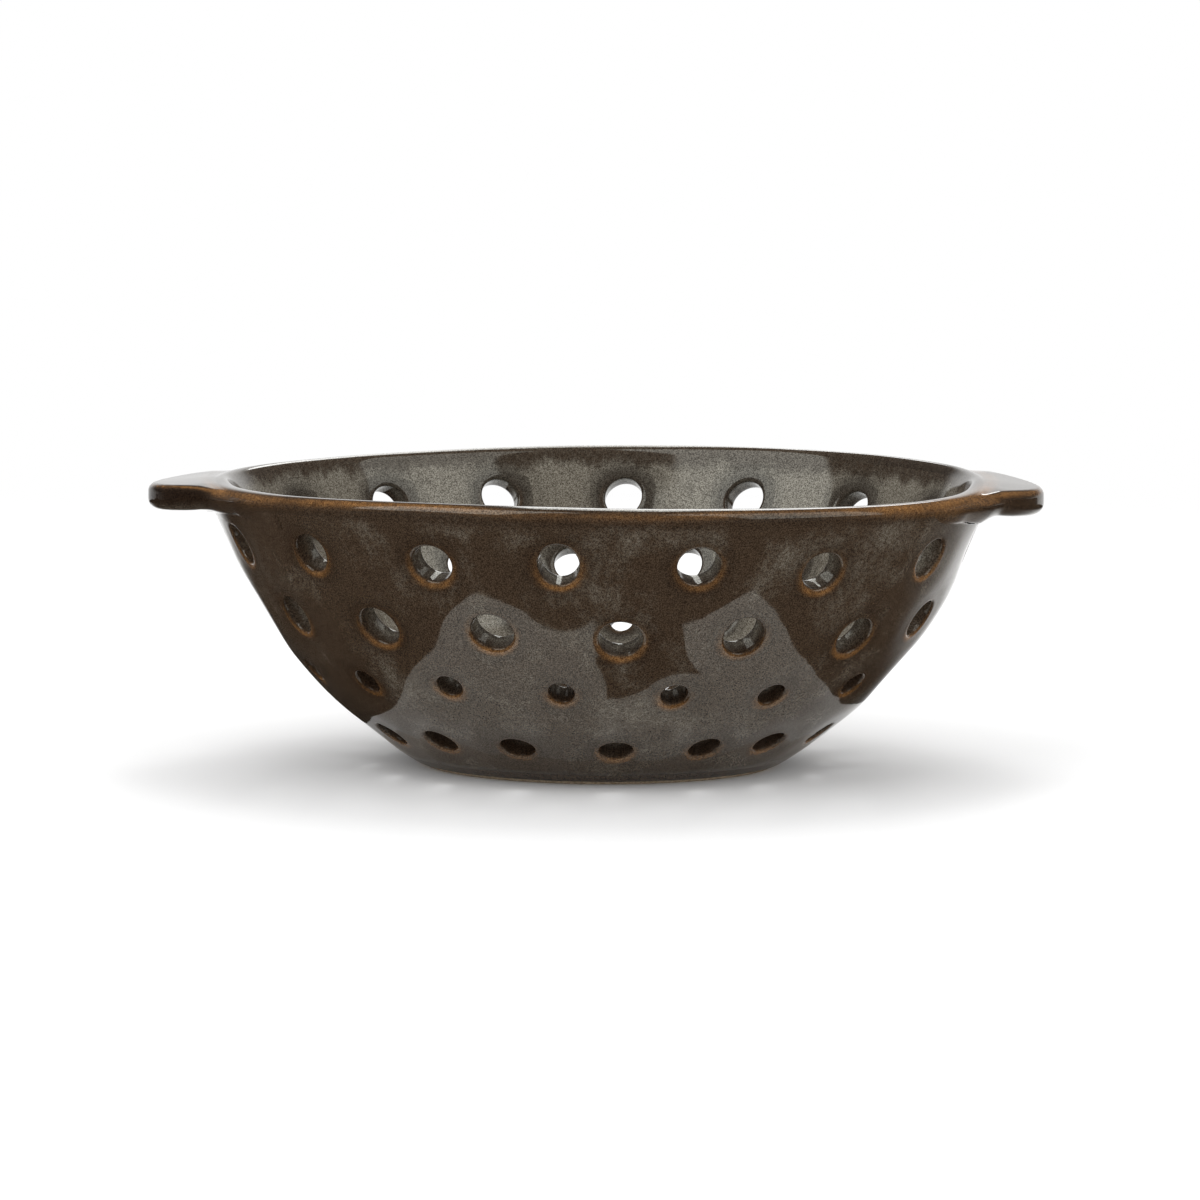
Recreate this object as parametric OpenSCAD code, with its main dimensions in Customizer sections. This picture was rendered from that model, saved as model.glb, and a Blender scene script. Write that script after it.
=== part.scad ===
// Oval stoneware berry colander: a perforated bowl on a foot ring, with two lug handles at the rim.
// Millimetres. +X runs along the handles, -Y is the front, +Z is up, and the foot stands on z = 0.

/* [Overall size] */
// Length over both handles
overall_length = 196.85; // [188:0.05:240]
// Length across the rim, without the handles
rim_length = 173; // [150:0.5:182]
// Width across the rim, front to back
rim_width = 146.05; // [120:0.05:180]
// Height of the rim above the table
bowl_height = 63.5; // [52:0.1:80]

/* [Wall] */
// Thickness of the wall beside the handles, which the oval thins a little at the front and back
wall = 5.8; // [4.5:0.1:6.5]
// Lean of the straight upper wall, in degrees from upright
wall_lean = 23.5; // [16:0.5:27]
// Radius of the belly between the foot and the upper wall, along the handles
belly_radius = 98; // [80:1:120]

/* [Foot and floor] */
// Length of the foot where it meets the table
foot_length = 78; // [64:0.5:96]
// Height of the foot ring, which is the hollow under the floor
foot_height = 2.5; // [1.5:0.1:4]
// Width of the flat band that the foot ring stands on
foot_band = 6; // [4:0.1:9]
// Thickness of the floor
floor_thickness = 5.5; // [4:0.1:7]
// Radius of the inside corner between the floor and the wall
floor_fillet = 14; // [8:0.5:24]

/* [Drain holes] */
// Number of holes in each row round the wall
holes_per_row = 16; // [10:1:18]
// Bore of the row below the rim
rim_row_bore = 8.9; // [4:0.1:10]
// Bore of the second row
upper_row_bore = 9.1; // [4:0.1:10]
// Bore of the third row
lower_row_bore = 5.8; // [3:0.1:7]
// Bore of the row above the foot
foot_row_bore = 7; // [3:0.1:7.5]
// Bore of the holes in the floor
floor_bore = 6.8; // [3:0.1:8]
// Number of floor holes round the one in the middle
floor_ring_holes = 6; // [3:1:8]
// Distance of those holes from the middle along the handles, which the oval narrows front to back
floor_ring_reach = 19; // [12:0.5:23]

/* [Handles] */
// Thickness of a lug handle
handle_thickness = 6.1; // [4:0.1:7]
// Radius of a handle's tip, seen from above
handle_tip_radius = 14; // [11:0.5:18]
// Radius of the hollow curves that lead from the tip into the rim
handle_flare_radius = 17; // [12:0.5:24]
// Drop of a handle's top face below the rim where it leaves the wall
handle_drop = 1.2; // [0.6:0.1:2]
// Droop of a handle towards its tip, in degrees
handle_droop = 4; // [0:0.5:7]
// Radius of the cove under a handle, where it runs into the wall
handle_cove = 4.1; // [3:0.1:6]

/* [Hidden] */
$fn = 240;
// How far a cutting shape runs past what it cuts
overrun = 1;

// Heights of the four rows of holes on the outside of the wall, of the rim row's height
row_height_shares = [1, 0.691, 0.433, 0.168];
// Place of each row's first hole, in hole pitches from the front towards +X
row_turn_shares = [-0.29, 0.14, -0.35, 0.13];
row_bores = [rim_row_bore, upper_row_bore, lower_row_bore, foot_row_bore];

// The oval: every level of the bowl has the same ratio of width to length
rim_reach = rim_length / 2;
oval_ratio = rim_width / rim_length;

// Straight lines of the profile lie this far inside the round ones that they run into, so that the two cross
blend_depth = 0.003;

// The side profile, as points [reach, height]: a round lip, a straight upper wall, and a belly arc that is
// tangent to the upper wall and ends at the foot's edge
lip_radius = wall / 2;
lip_centre = [rim_reach - lip_radius, bowl_height - lip_radius];
wall_up = [sin(wall_lean), cos(wall_lean)];
wall_out = [cos(wall_lean), -sin(wall_lean)];
wall_top = lip_centre + lip_radius * wall_out;
foot_reach = foot_length / 2;
foot_to_wall_top = wall_top - [foot_reach, 0];
rise = foot_to_wall_top * wall_up;
bulge = foot_to_wall_top * wall_out;
upper_wall_run = rise - sqrt(2 * belly_radius * bulge - bulge * bulge);
belly_top = wall_top - upper_wall_run * wall_up;
belly_centre = belly_top - belly_radius * wall_out;

// The inside: the wall's thickness in from the outside, with a flat floor and a round corner
floor_top = foot_height + floor_thickness;
inner_belly_radius = belly_radius - wall;
inner_belly_top = belly_top - wall * wall_out;
corner_height = floor_top + floor_fillet;
corner_run = inner_belly_radius - floor_fillet + blend_depth;
corner_reach = belly_centre.x + sqrt(pow(corner_run, 2) - pow(belly_centre.y - corner_height, 2));
corner_centre = [corner_reach, corner_height];
corner_end = belly_centre + (corner_centre - belly_centre) * inner_belly_radius / corner_run;

// Equal steps round the oval: a table of distance from the front against the angle of the stretched circle
oval_angle_step = 2;
oval_speeds = [for (t = [0 : oval_angle_step : 360]) norm([cos(t), oval_ratio * sin(t)])];
function distance_to(i) = i == 0 ? 0 : distance_to(i - 1) + (oval_speeds[i - 1] + oval_speeds[i]) / 2;
oval_turns = [for (i = [0 : len(oval_speeds) - 1]) [distance_to(i), i * oval_angle_step]];
oval_round = distance_to(len(oval_speeds) - 1);
function turn_angle(share) = lookup((share - floor(share)) * oval_round, oval_turns);

// Reach and slope of the outside of the wall at a height, along the handles
function belly_run(z) = sqrt(pow(belly_radius, 2) - pow(belly_centre.y - z, 2));
function wall_reach(z) = z < belly_top.y
    ? belly_centre.x + belly_run(z)
    : wall_top.x - (wall_top.y - z) * tan(wall_lean);
function wall_slope(z) = z < belly_top.y ? (belly_centre.y - z) / belly_run(z) : tan(wall_lean);

// The handle's edge, which is rounder below than above, as shares of its thickness
handle_top_round_share = 0.26;
handle_under_round_share = 0.44;
handle_top_round = handle_top_round_share * handle_thickness;
handle_under_round = handle_under_round_share * handle_thickness;
handle_half = handle_thickness / 2;

// The handle in plan: a round tip, and flares that lead from it to the rim, which is close to a circle there.
// The flares run a little way into both, so that they cross them at an angle
rim_sink = 0.5;
tip_sink = 0.05;
tip_lean = (handle_half - handle_top_round) * sin(handle_droop);
tip_run = overall_length / 2 - rim_reach - handle_top_round - tip_lean;
handle_run = tip_run / cos(handle_droop) + handle_top_round;
tip_centre = rim_reach + handle_run - handle_tip_radius;
rim_bend = oval_ratio * rim_width / 2;
rim_bend_centre = rim_reach - rim_bend;
flare_from_rim = rim_bend - rim_sink + handle_flare_radius;
flare_from_tip = handle_tip_radius - tip_sink + handle_flare_radius;
tip_from_rim = tip_centre - rim_bend_centre;
flare_along = (pow(tip_from_rim, 2) + pow(flare_from_rim, 2) - pow(flare_from_tip, 2)) / (2 * tip_from_rim);
flare_aside = sqrt(pow(flare_from_rim, 2) - pow(flare_along, 2));
flare_centre = [rim_bend_centre + flare_along, flare_aside];
flare_to_tip = atan2(flare_centre.y, flare_centre.x - tip_centre);
flare_to_rim = atan2(flare_centre.y, flare_centre.x - rim_bend_centre);
flare_end = rim_bend * sin(flare_to_rim);
handle_middle = bowl_height - handle_drop - handle_half;

// Bands along the flares and a core between them make up the neck of the handle. The width of the bands and
// the distance of the core's sides from the flares are shares of the tip's radius, so that the two overlap
flare_band_share = 0.7;
core_inset_share = 0.4;
band_start = (1 - flare_band_share) * handle_tip_radius;
core_flare_radius = handle_flare_radius + core_inset_share * handle_tip_radius;
neck_root = rim_reach - 2 * wall;

// The cove under the handle, in the side profile: its circle cuts a little into the wall and the underside,
// so that its edges leave them at an angle
cove_edge_angle = 8;
cove_depth = handle_cove * cos(cove_edge_angle);
cove_flare_radius = handle_flare_radius + handle_half;
cove_top = handle_middle - handle_half;
cove_height = cove_top - cove_depth;
cove_reach = wall_top.x + (cove_depth + (cove_height - wall_top.y) * sin(wall_lean)) / cos(wall_lean);
cove_centre = [cove_reach, cove_height];
cove_foot = cove_centre - cove_depth * wall_out + handle_cove * sin(cove_edge_angle) * wall_up;

// The rim row lies just below the coves, and a hole is long enough to clear the wall wherever it is
rim_row_gap = 0.3;
rim_row_height = cove_foot.y - rim_row_gap - rim_row_bore / 2 * wall_up.y;
hole_length = 4 * wall;

glaze_colour = "#6b5a48";
handle_colour = "#74624c";
clay_colour = "#b9a58a";

// Half of the outside below the lip, filled to the axis
module outer_profile() {
    intersection() {
        translate(belly_centre) circle(belly_radius);
        translate([0, -overrun]) square([rim_reach, belly_top.y + 2 * overrun]);
    }
    polygon([
        [0, belly_top.y],
        belly_top - blend_depth * wall_out,
        wall_top - blend_depth * wall_out,
        lip_centre - lip_radius * wall_out,
        [0, lip_centre.y]
    ]);
}

module lip_profile() {
    translate(lip_centre) circle(lip_radius);
}

// Half of the space inside, from the floor up past the rim
module inner_profile() {
    translate([0, floor_top + blend_depth]) square([corner_centre.x, corner_end.y - floor_top]);
    translate(corner_centre) circle(floor_fillet);
    intersection() {
        translate(belly_centre) circle(inner_belly_radius);
        translate([0, corner_end.y]) square([rim_reach, inner_belly_top.y + overrun - corner_end.y]);
    }
    polygon([
        [0, inner_belly_top.y],
        inner_belly_top - blend_depth * wall_out,
        lip_centre - (lip_radius - blend_depth) * wall_out,
        [lip_centre.x - lip_radius, bowl_height],
        [0, bowl_height]
    ]);
}

// A half profile turned round the upright axis and narrowed to an oval, as a front and a back half
module oval_turn() {
    for (side = [0, 1])
        mirror([0, side, 0]) scale([1, oval_ratio, 1]) rotate_extrude(angle = 180) children();
}

// The outside of the bowl as a plug, filled past the rim
module outer_form() {
    oval_turn() {
        outer_profile();
        lip_profile();
        square([lip_centre.x, bowl_height + handle_thickness]);
    }
}

// A slab as wide as the part, between two heights
module slab(bottom, top) {
    translate([-overall_length / 2, -rim_width, bottom]) cube([overall_length, 2 * rim_width, top - bottom]);
}

// One drain hole, square to the wall, at an angle of the stretched circle counted from the front
module wall_hole(angle, height, bore) {
    reach = wall_reach(height);
    across = [oval_ratio * sin(angle), -cos(angle)];
    pitch = atan2(-oval_ratio * wall_slope(height), norm(across));
    translate([reach * sin(angle), -oval_ratio * reach * cos(angle), height])
        rotate([0, 90 - pitch, atan2(across.y, across.x)])
            cylinder(h = hole_length, d = bore, center = true);
}

// One drain hole through the floor, at a reach along the handles and an angle of the stretched circle
module floor_hole(reach, angle) {
    translate([reach * cos(angle), oval_ratio * reach * sin(angle), 0])
        cylinder(h = floor_top + overrun, d = floor_bore);
}

module drain_holes() {
    for (row = [0 : len(row_bores) - 1], i = [0 : holes_per_row - 1])
        wall_hole(
            turn_angle((i + row_turn_shares[row]) / holes_per_row),
            row_height_shares[row] * rim_row_height,
            row_bores[row]
        );
    floor_hole(0, 0);
    for (i = [0 : floor_ring_holes - 1])
        floor_hole(floor_ring_reach, 360 * i / floor_ring_holes);
}

module bowl_body() {
    color(glaze_colour)
        difference() {
            intersection() {
                oval_turn() {
                    difference() {
                        outer_profile();
                        inner_profile();
                    }
                    lip_profile();
                }
                slab(foot_height, bowl_height + overrun);
            }
            drain_holes();
        }
}

module foot_ring() {
    color(clay_colour)
        difference() {
            intersection() {
                oval_turn() outer_profile();
                slab(0, foot_height);
            }
            translate([0, 0, -overrun])
                oval_turn() square([foot_reach - foot_band, foot_height + 2 * overrun]);
        }
}

// Half of the lug's cross-section, from a start out to its edge: a flat, an upright flank and two rounds
module lug_section(start) {
    under_reach = handle_tip_radius - handle_under_round;
    top_reach = handle_tip_radius - handle_top_round;
    flank_bottom = handle_under_round - handle_half;
    flank_top = handle_half - handle_top_round;
    translate([start, -handle_half]) square([under_reach - start, handle_thickness]);
    translate([under_reach, flank_bottom]) square([top_reach - under_reach, handle_half - flank_bottom]);
    translate([top_reach, flank_bottom]) square([handle_top_round, flank_top - flank_bottom]);
    intersection() {
        translate([under_reach, flank_bottom]) circle(handle_under_round);
        translate([under_reach, -handle_half]) square(handle_under_round);
    }
    intersection() {
        translate([top_reach, flank_top]) circle(handle_top_round);
        translate([top_reach, flank_top]) square(handle_top_round);
    }
}

// The flat lug with its rounded edge, lying level with its middle at z = 0
module lug() {
    translate([tip_centre, 0, 0]) rotate_extrude() lug_section(0);
    for (side = [0, 1])
        mirror([0, side, 0])
            translate(flare_centre)
                rotate([0, 0, 180 + flare_to_rim])
                    rotate_extrude(angle = flare_to_tip - flare_to_rim)
                        translate([handle_flare_radius + handle_tip_radius, 0])
                            mirror([1, 0]) lug_section(band_start);
    translate([0, 0, -handle_half])
        linear_extrude(handle_thickness)
            difference() {
                translate([neck_root, -flare_end]) square([tip_centre - neck_root, 2 * flare_end]);
                for (side = [0, 1])
                    mirror([0, side]) translate(flare_centre) circle(core_flare_radius);
            }
}

// The cove that fills the corner between the wall and the lug's underside, just inside the flat of the lug
module cove() {
    intersection() {
        oval_turn()
            difference() {
                polygon([
                    cove_centre - (cove_depth + lip_radius) * wall_out,
                    cove_centre,
                    [cove_centre.x, handle_middle],
                    [wall_top.x - lip_radius, handle_middle]
                ]);
                translate(cove_centre) circle(handle_cove);
            }
        linear_extrude(bowl_height)
            difference() {
                translate([0, -flare_end]) square([overall_length / 2, 2 * flare_end]);
                for (side = [0, 1])
                    mirror([0, side]) translate(flare_centre) circle(cove_flare_radius);
            }
    }
}

module handle() {
    difference() {
        union() {
            translate([rim_reach, 0, handle_middle])
                rotate([0, handle_droop, 0])
                    translate([-rim_reach, 0, 0]) lug();
            cove();
        }
        outer_form();
    }
}

module right_handle() {
    color(handle_colour) handle();
}

module left_handle() {
    color(handle_colour) mirror([1, 0, 0]) handle();
}

bowl_body();
foot_ring();
left_handle();
right_handle();
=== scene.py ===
import math

import bmesh
import bpy
import numpy as np
from mathutils import Matrix, Vector
from mathutils.geometry import delaunay_2d_cdt


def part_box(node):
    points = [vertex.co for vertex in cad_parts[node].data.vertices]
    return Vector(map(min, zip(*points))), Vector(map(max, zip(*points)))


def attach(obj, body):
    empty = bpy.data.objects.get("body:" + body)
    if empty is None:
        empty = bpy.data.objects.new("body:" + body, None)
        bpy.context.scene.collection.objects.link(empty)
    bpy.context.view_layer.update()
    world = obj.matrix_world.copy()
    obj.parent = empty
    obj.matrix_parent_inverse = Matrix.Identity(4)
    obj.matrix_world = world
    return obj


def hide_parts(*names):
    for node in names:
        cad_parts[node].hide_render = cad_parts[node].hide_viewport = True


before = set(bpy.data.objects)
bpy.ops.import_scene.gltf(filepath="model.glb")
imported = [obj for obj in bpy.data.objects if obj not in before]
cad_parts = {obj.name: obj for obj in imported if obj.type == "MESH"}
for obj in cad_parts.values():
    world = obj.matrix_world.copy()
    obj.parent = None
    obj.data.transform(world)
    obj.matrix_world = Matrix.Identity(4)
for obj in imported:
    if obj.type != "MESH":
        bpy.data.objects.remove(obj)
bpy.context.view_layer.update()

# Sizes that the frame gives, in metres
bowl_low, bowl_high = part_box("bowl_body")
RIM_REACH = bowl_high.x
OVAL = bowl_high.y / bowl_high.x
HEIGHT = bowl_high.z
SEAM_HEIGHT = bowl_low.z
TIP_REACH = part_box("right_handle")[1].x

# Other sizes of the pot, in metres and radians
WALL = 0.0058
WALL_LEAN = math.radians(23.5)
BELLY_RADIUS = 0.098
FOOT_REACH = 0.039
FOOT_BAND = 0.006
FOOT_EDGE = 0.0009
FLOOR_THICKNESS = 0.0055
FLOOR_FILLET = 0.014

# Rows of holes from the rim down: height on the wall, bore, place of hole 0 in pitches from the front, and
# the photograph's pixels of the middles of holes -2 to 2
HOLES_PER_ROW = 16
ROWS = [
    dict(height=0.0499, bore=0.0089, first=-0.29,
         seen=[(309, 555), (430, 567), (558, 568), (700, 568), (825, 572)]),
    dict(height=0.0345, bore=0.0091, first=0.14,
         seen=[(378, 629), (491, 635), (621, 642), (745, 638), (856, 638)]),
    dict(height=0.0216, bore=0.0058, first=-0.35,
         seen=[(366, 684), (448, 689), (561, 696), (675, 698), (773, 697)]),
    dict(height=0.0084, bore=0.0070, first=0.13,
         seen=[(440, 744), (517, 751), (616, 754), (705, 751), (770, 745)]),
]
FIRST_SEEN = -2
BACK_DRIFT = 0.115
TURN_WOBBLE = 0.0006
LEVEL_WOBBLE = 0.0005
BORE_WOBBLE = 0.02
HOLE_EGG = 0.035
HOLE_ROUND = 0.0008
DIMPLE_DEPTH = 0.00045
DIMPLE_WIDTH = 0.0042
DIMPLE_INSIDE = 1.6
FLOOR_BORE = 0.0068
FLOOR_RING_REACH = 0.019
FLOOR_RING_HOLES = 6

# Lug handles
LUG_THICKNESS = 0.0061
LUG_TIP_RADIUS = 0.0125
LUG_DROP = 0.0002
LUG_DROOP = math.radians(7)
LUG_SINK = 0.0014
LUG_TAPER = 0.0032
LUG_SIDES = (0.013, 0.036)
LUG_TOP_ROUND = 0.0016
LUG_UNDER_ROUND = 0.0027
LUG_TOP_BLEND = 0.0008
LUG_COVE_BLEND = 0.0065
LUG_FLARE = 0.022
LUG_EDGE_RISE = {-1: math.radians(52), 1: math.radians(42)}
LUG_EDGE_WIDTH = {-1: math.radians(15), 1: math.radians(34)}
# Painted shade on the lugs' side faces: its width in the rise of the normal, and its strength on the left
# (-1) and right (1) lug
LUG_FLANK_SHADE_WIDTH = math.radians(60)
LUG_FLANK_PAINTED_SHADE = {-1: 2.7, 1: 1.0}
LUG_INSET = 0.0004

# Mesh density
CELL_ACROSS = 18
CELL_UP = 10
AROUND = HOLES_PER_ROW * CELL_ACROSS
WELD = 1e-6
SHARP = math.radians(40)

# The photograph's camera
IMAGE_SIDE = 1200
FOCAL_PIXELS = 5602
SENSOR = 36
CAMERA_AIM = np.array([0.00008, 0, 0.03602])
CAMERA_DISTANCE = 1.233
CAMERA_RISE = math.radians(6.904)
CAMERA_ROLL = math.radians(0.407)

# The side profile, as [reach, height]: a belly arc that is tangent to a straight upper wall, and a round lip
WALL_UP = np.array([math.sin(WALL_LEAN), math.cos(WALL_LEAN)])
WALL_OUT = np.array([math.cos(WALL_LEAN), -math.sin(WALL_LEAN)])
LIP_RADIUS = WALL / 2
LIP_CENTRE = np.array([RIM_REACH - LIP_RADIUS, HEIGHT - LIP_RADIUS])
WALL_TOP = LIP_CENTRE + LIP_RADIUS * WALL_OUT
RISE, BULGE = (WALL_TOP - [FOOT_REACH, 0]) @ np.array([WALL_UP, WALL_OUT]).T
UPPER_RUN = RISE - math.sqrt(2 * BELLY_RADIUS * BULGE - BULGE**2)
BELLY_TOP = WALL_TOP - UPPER_RUN * WALL_UP
BELLY_CENTRE = BELLY_TOP - BELLY_RADIUS * WALL_OUT
SEAM_FALL = math.asin((BELLY_CENTRE[1] - SEAM_HEIGHT) / BELLY_RADIUS)
BELLY_LENGTH = BELLY_RADIUS * (SEAM_FALL - WALL_LEAN)
WALL_LENGTH = BELLY_LENGTH + UPPER_RUN
FLOOR_TOP = SEAM_HEIGHT + FLOOR_THICKNESS
CORNER_HEIGHT = FLOOR_TOP + FLOOR_FILLET
CORNER_RUN = BELLY_RADIUS - WALL - FLOOR_FILLET
CORNER_FALL = math.asin((BELLY_CENTRE[1] - CORNER_HEIGHT) / CORNER_RUN)
CORNER_CENTRE = BELLY_CENTRE + CORNER_RUN * np.array([math.cos(CORNER_FALL), -math.sin(CORNER_FALL)])
CORNER_LEVEL = BELLY_RADIUS * (SEAM_FALL - CORNER_FALL)

rng = np.random.default_rng(11)


def smooth_step(x):
    x = np.clip(x, 0, 1)
    return x * x * (3 - 2 * x)


def fall_at(level):
    """How far the wall's outward normal points below the horizon, at a level up the outside of the wall."""
    return np.maximum(SEAM_FALL - np.asarray(level, float) / BELLY_RADIUS, WALL_LEAN)


def outer_profile(level):
    fall = fall_at(level)
    arc = BELLY_CENTRE + BELLY_RADIUS * np.stack([np.cos(fall), -np.sin(fall)], -1)
    return arc + np.maximum(level - BELLY_LENGTH, 0)[..., None] * WALL_UP


def inner_profile(level):
    """The inside opposite that level: the wall's thickness in, and round the corner to the floor."""
    fall = fall_at(level)
    wall = outer_profile(level) - WALL * np.stack([np.cos(fall), -np.sin(fall)], -1)
    turn = CORNER_FALL + (1 - np.clip(level / CORNER_LEVEL, 0, 1)) * (math.pi / 2 - CORNER_FALL)
    corner = CORNER_CENTRE + FLOOR_FILLET * np.stack([np.cos(turn), -np.sin(turn)], -1)
    return np.where((level < CORNER_LEVEL)[..., None], corner, wall)


def level_at(height):
    fall = np.arcsin(np.clip((BELLY_CENTRE[1] - height) / BELLY_RADIUS, math.sin(WALL_LEAN), 1))
    return BELLY_RADIUS * (SEAM_FALL - fall) + max(height - BELLY_TOP[1], 0) / WALL_UP[1]


# Equal steps round the oval: distance from the front against the angle of the stretched circle
oval_angles = np.linspace(0, 2 * math.pi, 721)
oval_speeds = np.hypot(np.cos(oval_angles), OVAL * np.sin(oval_angles))
oval_steps = np.concatenate([[0], np.cumsum((oval_speeds[1:] + oval_speeds[:-1]) / 2)])
OVAL_ROUND = oval_steps[-1] * (oval_angles[1] - oval_angles[0])
oval_shares = oval_steps / oval_steps[-1]


def angle_at(turn):
    """Angle of the stretched circle, from the front towards +X, at a share of the way round the oval."""
    whole = np.floor(turn)
    return np.interp(turn - whole, oval_shares, oval_angles) + 2 * math.pi * whole


def turn_at(angle):
    return np.interp(angle % (2 * math.pi), oval_angles, oval_shares)


def oval_point(profile, angle):
    reach, height = profile[..., 0], profile[..., 1]
    return np.stack([reach * np.sin(angle), -OVAL * reach * np.cos(angle), height + 0 * angle], -1)


def wall_normal(level, angle):
    fall = fall_at(level)
    level_out = np.cos(fall)
    down = -np.sin(fall) + 0 * angle
    n = np.stack([level_out * np.sin(angle), -level_out * np.cos(angle) / OVAL, down], -1)
    return n / np.linalg.norm(n, axis=-1, keepdims=True)


# The camera's own axes, which place the holes that the photograph shows and aim the camera
VIEW_BACK = np.array([0, -math.cos(CAMERA_RISE), math.sin(CAMERA_RISE)])
LEVEL_UP = np.array([0, math.sin(CAMERA_RISE), math.cos(CAMERA_RISE)])
LEVEL_RIGHT = np.array([1.0, 0, 0])
VIEW_RIGHT = LEVEL_RIGHT * math.cos(CAMERA_ROLL) + LEVEL_UP * math.sin(CAMERA_ROLL)
VIEW_UP = LEVEL_UP * math.cos(CAMERA_ROLL) - LEVEL_RIGHT * math.sin(CAMERA_ROLL)
EYE = CAMERA_AIM + CAMERA_DISTANCE * VIEW_BACK


def wall_spot(pixel):
    """Turn and level of the spot on the outside of the wall that a pixel of the photograph shows."""
    across, down = (np.array(pixel) - IMAGE_SIDE / 2) / FOCAL_PIXELS
    ray = across * VIEW_RIGHT - down * VIEW_UP - VIEW_BACK
    depths = np.linspace(CAMERA_DISTANCE - RIM_REACH, CAMERA_DISTANCE, 4000)
    points = EYE + depths[:, None] * ray
    angles = np.arctan2(points[:, 0], -points[:, 1] / OVAL)
    levels = np.array([level_at(z) for z in np.clip(points[:, 2], SEAM_HEIGHT, HEIGHT)])
    outside = np.hypot(points[:, 0], points[:, 1] / OVAL) - outer_profile(levels)[:, 0]
    hit = np.argmax(outside < 0)
    return turn_at(angles[hit]), levels[hit]


class Hole:
    """One hole through the wall: its cell of the wall, its middle, and its slightly uneven outline."""

    def __init__(self, row, index, low, high):
        sizes = ROWS[row]
        self.step = round(sizes["first"] * CELL_ACROSS) + index * CELL_ACROSS
        self.low, self.high = low, high
        self.level = level_at(sizes["height"])
        self.turn = (index + sizes["first"]) / HOLES_PER_ROW
        self.turn += BACK_DRIFT / HOLES_PER_ROW * (1 - math.cos(2 * math.pi * self.turn)) / 2
        wobble = rng.normal(size=4)
        seen = (index - FIRST_SEEN) % HOLES_PER_ROW
        if seen < len(sizes["seen"]):
            spot, self.level = wall_spot(sizes["seen"][seen])
            self.turn += (spot - self.turn + 0.5) % 1 - 0.5
        else:
            self.turn += wobble[0] * TURN_WOBBLE / OVAL_ROUND / RIM_REACH
            self.level += wobble[1] * LEVEL_WOBBLE
        self.radius = sizes["bore"] / 2 * (1 + BORE_WOBBLE * wobble[2])
        self.egg_turn = 3 * wobble[3]
        self.round_length = OVAL_ROUND * outer_profile(np.array(self.level))[0]

    def circle(self, radius, angles):
        r = radius * (1 + HOLE_EGG * np.cos(2 * (angles - self.egg_turn)))
        return np.stack([r * np.cos(angles), r * np.sin(angles)], -1)

    def border(self):
        """The cell's border, anticlockwise from its lower left corner, in metres from the hole's middle."""
        across = np.arange(CELL_ACROSS + 1) - CELL_ACROSS / 2 + self.step
        left, right = ((s / AROUND - self.turn) * self.round_length for s in (across[0], across[-1]))
        xs = (across / AROUND - self.turn) * self.round_length
        ys = np.linspace(self.low, self.high, CELL_UP + 1) - self.level
        bottom = [(x, ys[0]) for x in xs[:-1]]
        side = [(right, y) for y in ys[:-1]]
        top = [(x, ys[-1]) for x in xs[:0:-1]]
        back = [(left, y) for y in ys[:0:-1]]
        return np.array(bottom + side + top + back)


def make_holes():
    levels = [level_at(row["height"]) for row in ROWS]
    middles = [(a + b) / 2 for a, b in zip(levels, levels[1:])]
    tops, bottoms = [WALL_LENGTH] + middles, middles + [0]
    return [
        Hole(row, index, bottoms[row], tops[row])
        for row in range(len(ROWS))
        for index in range(HOLES_PER_ROW)
    ]


holes = make_holes()
hole_turns = np.array([h.turn for h in holes])
hole_levels = np.array([h.level for h in holes])
hole_lengths = np.array([h.round_length for h in holes])
hole_mouths = np.array([h.radius + HOLE_ROUND for h in holes])


def dimple(turn, level):
    """How far the clay sinks in towards the holes, which drag it as they are cut."""
    sunk = np.zeros(np.shape(turn))
    for t, l, length, mouth in zip(hole_turns, hole_levels, hole_lengths, hole_mouths):
        across = ((turn - t + 0.5) % 1 - 0.5) * length
        gap = np.hypot(across, level - l) - mouth
        sunk = sunk + DIMPLE_DEPTH * np.exp(-(np.maximum(gap, 0) / DIMPLE_WIDTH) ** 2)
    return sunk * smooth_step(level / DIMPLE_WIDTH)


def wall_point(turn, level, depth):
    """A point in the wall, from 0 outside to 1 inside."""
    angle = angle_at(turn)
    outer, inner = outer_profile(level), inner_profile(level)
    point = oval_point(outer + (inner - outer) * depth[..., None], angle)
    sunk = dimple(turn, level) * (1 - DIMPLE_INSIDE * depth)
    return point - sunk[..., None] * wall_normal(level, angle)


class Skin:
    """Points, faces and marks of one piece, gathered sheet by sheet and welded where the sheets meet."""

    def __init__(self):
        self.points, self.faces, self.marks, self.count = [], [], [], 0

    def add(self, points, faces, edge, inside, painted_shade=0):
        points = np.asarray(points, float).reshape(-1, 3)
        self.points.append(points)
        # The third mark is painted shade
        marks = [np.broadcast_to(np.asarray(m, float).ravel(), len(points)) for m in (edge, inside, painted_shade)]
        self.marks.append(np.stack(marks, 1))
        self.faces += [[c + self.count for c in face] for face in faces]
        self.count += len(points)

    def add_grid(self, grid, edge, inside, painted_shade=0, closed=False):
        """A grid of points as four-sided faces. A closed one joins its last column to its first."""
        rows, columns = grid.shape[:2]
        index = np.arange(rows * columns).reshape(rows, columns)
        if closed:
            index = np.concatenate([index, index[:, :1]], 1)
        quads = np.stack([index[:-1, :-1], index[:-1, 1:], index[1:, 1:], index[1:, :-1]], -1)
        marks = [np.broadcast_to(mark, (rows, columns)) for mark in (edge, inside, painted_shade)]
        self.add(grid, quads.reshape(-1, 4).tolist(), *marks)

    def welded(self):
        points = np.concatenate(self.points)
        _, first, back = np.unique(np.round(points / WELD), axis=0, return_index=True, return_inverse=True)
        back = back.ravel()
        faces = []
        for face in self.faces:
            corners = list(dict.fromkeys(int(back[c]) for c in face))
            if len(corners) > 2:
                faces.append(corners)
        return points[first], faces, np.concatenate(self.marks)[first].T


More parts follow.
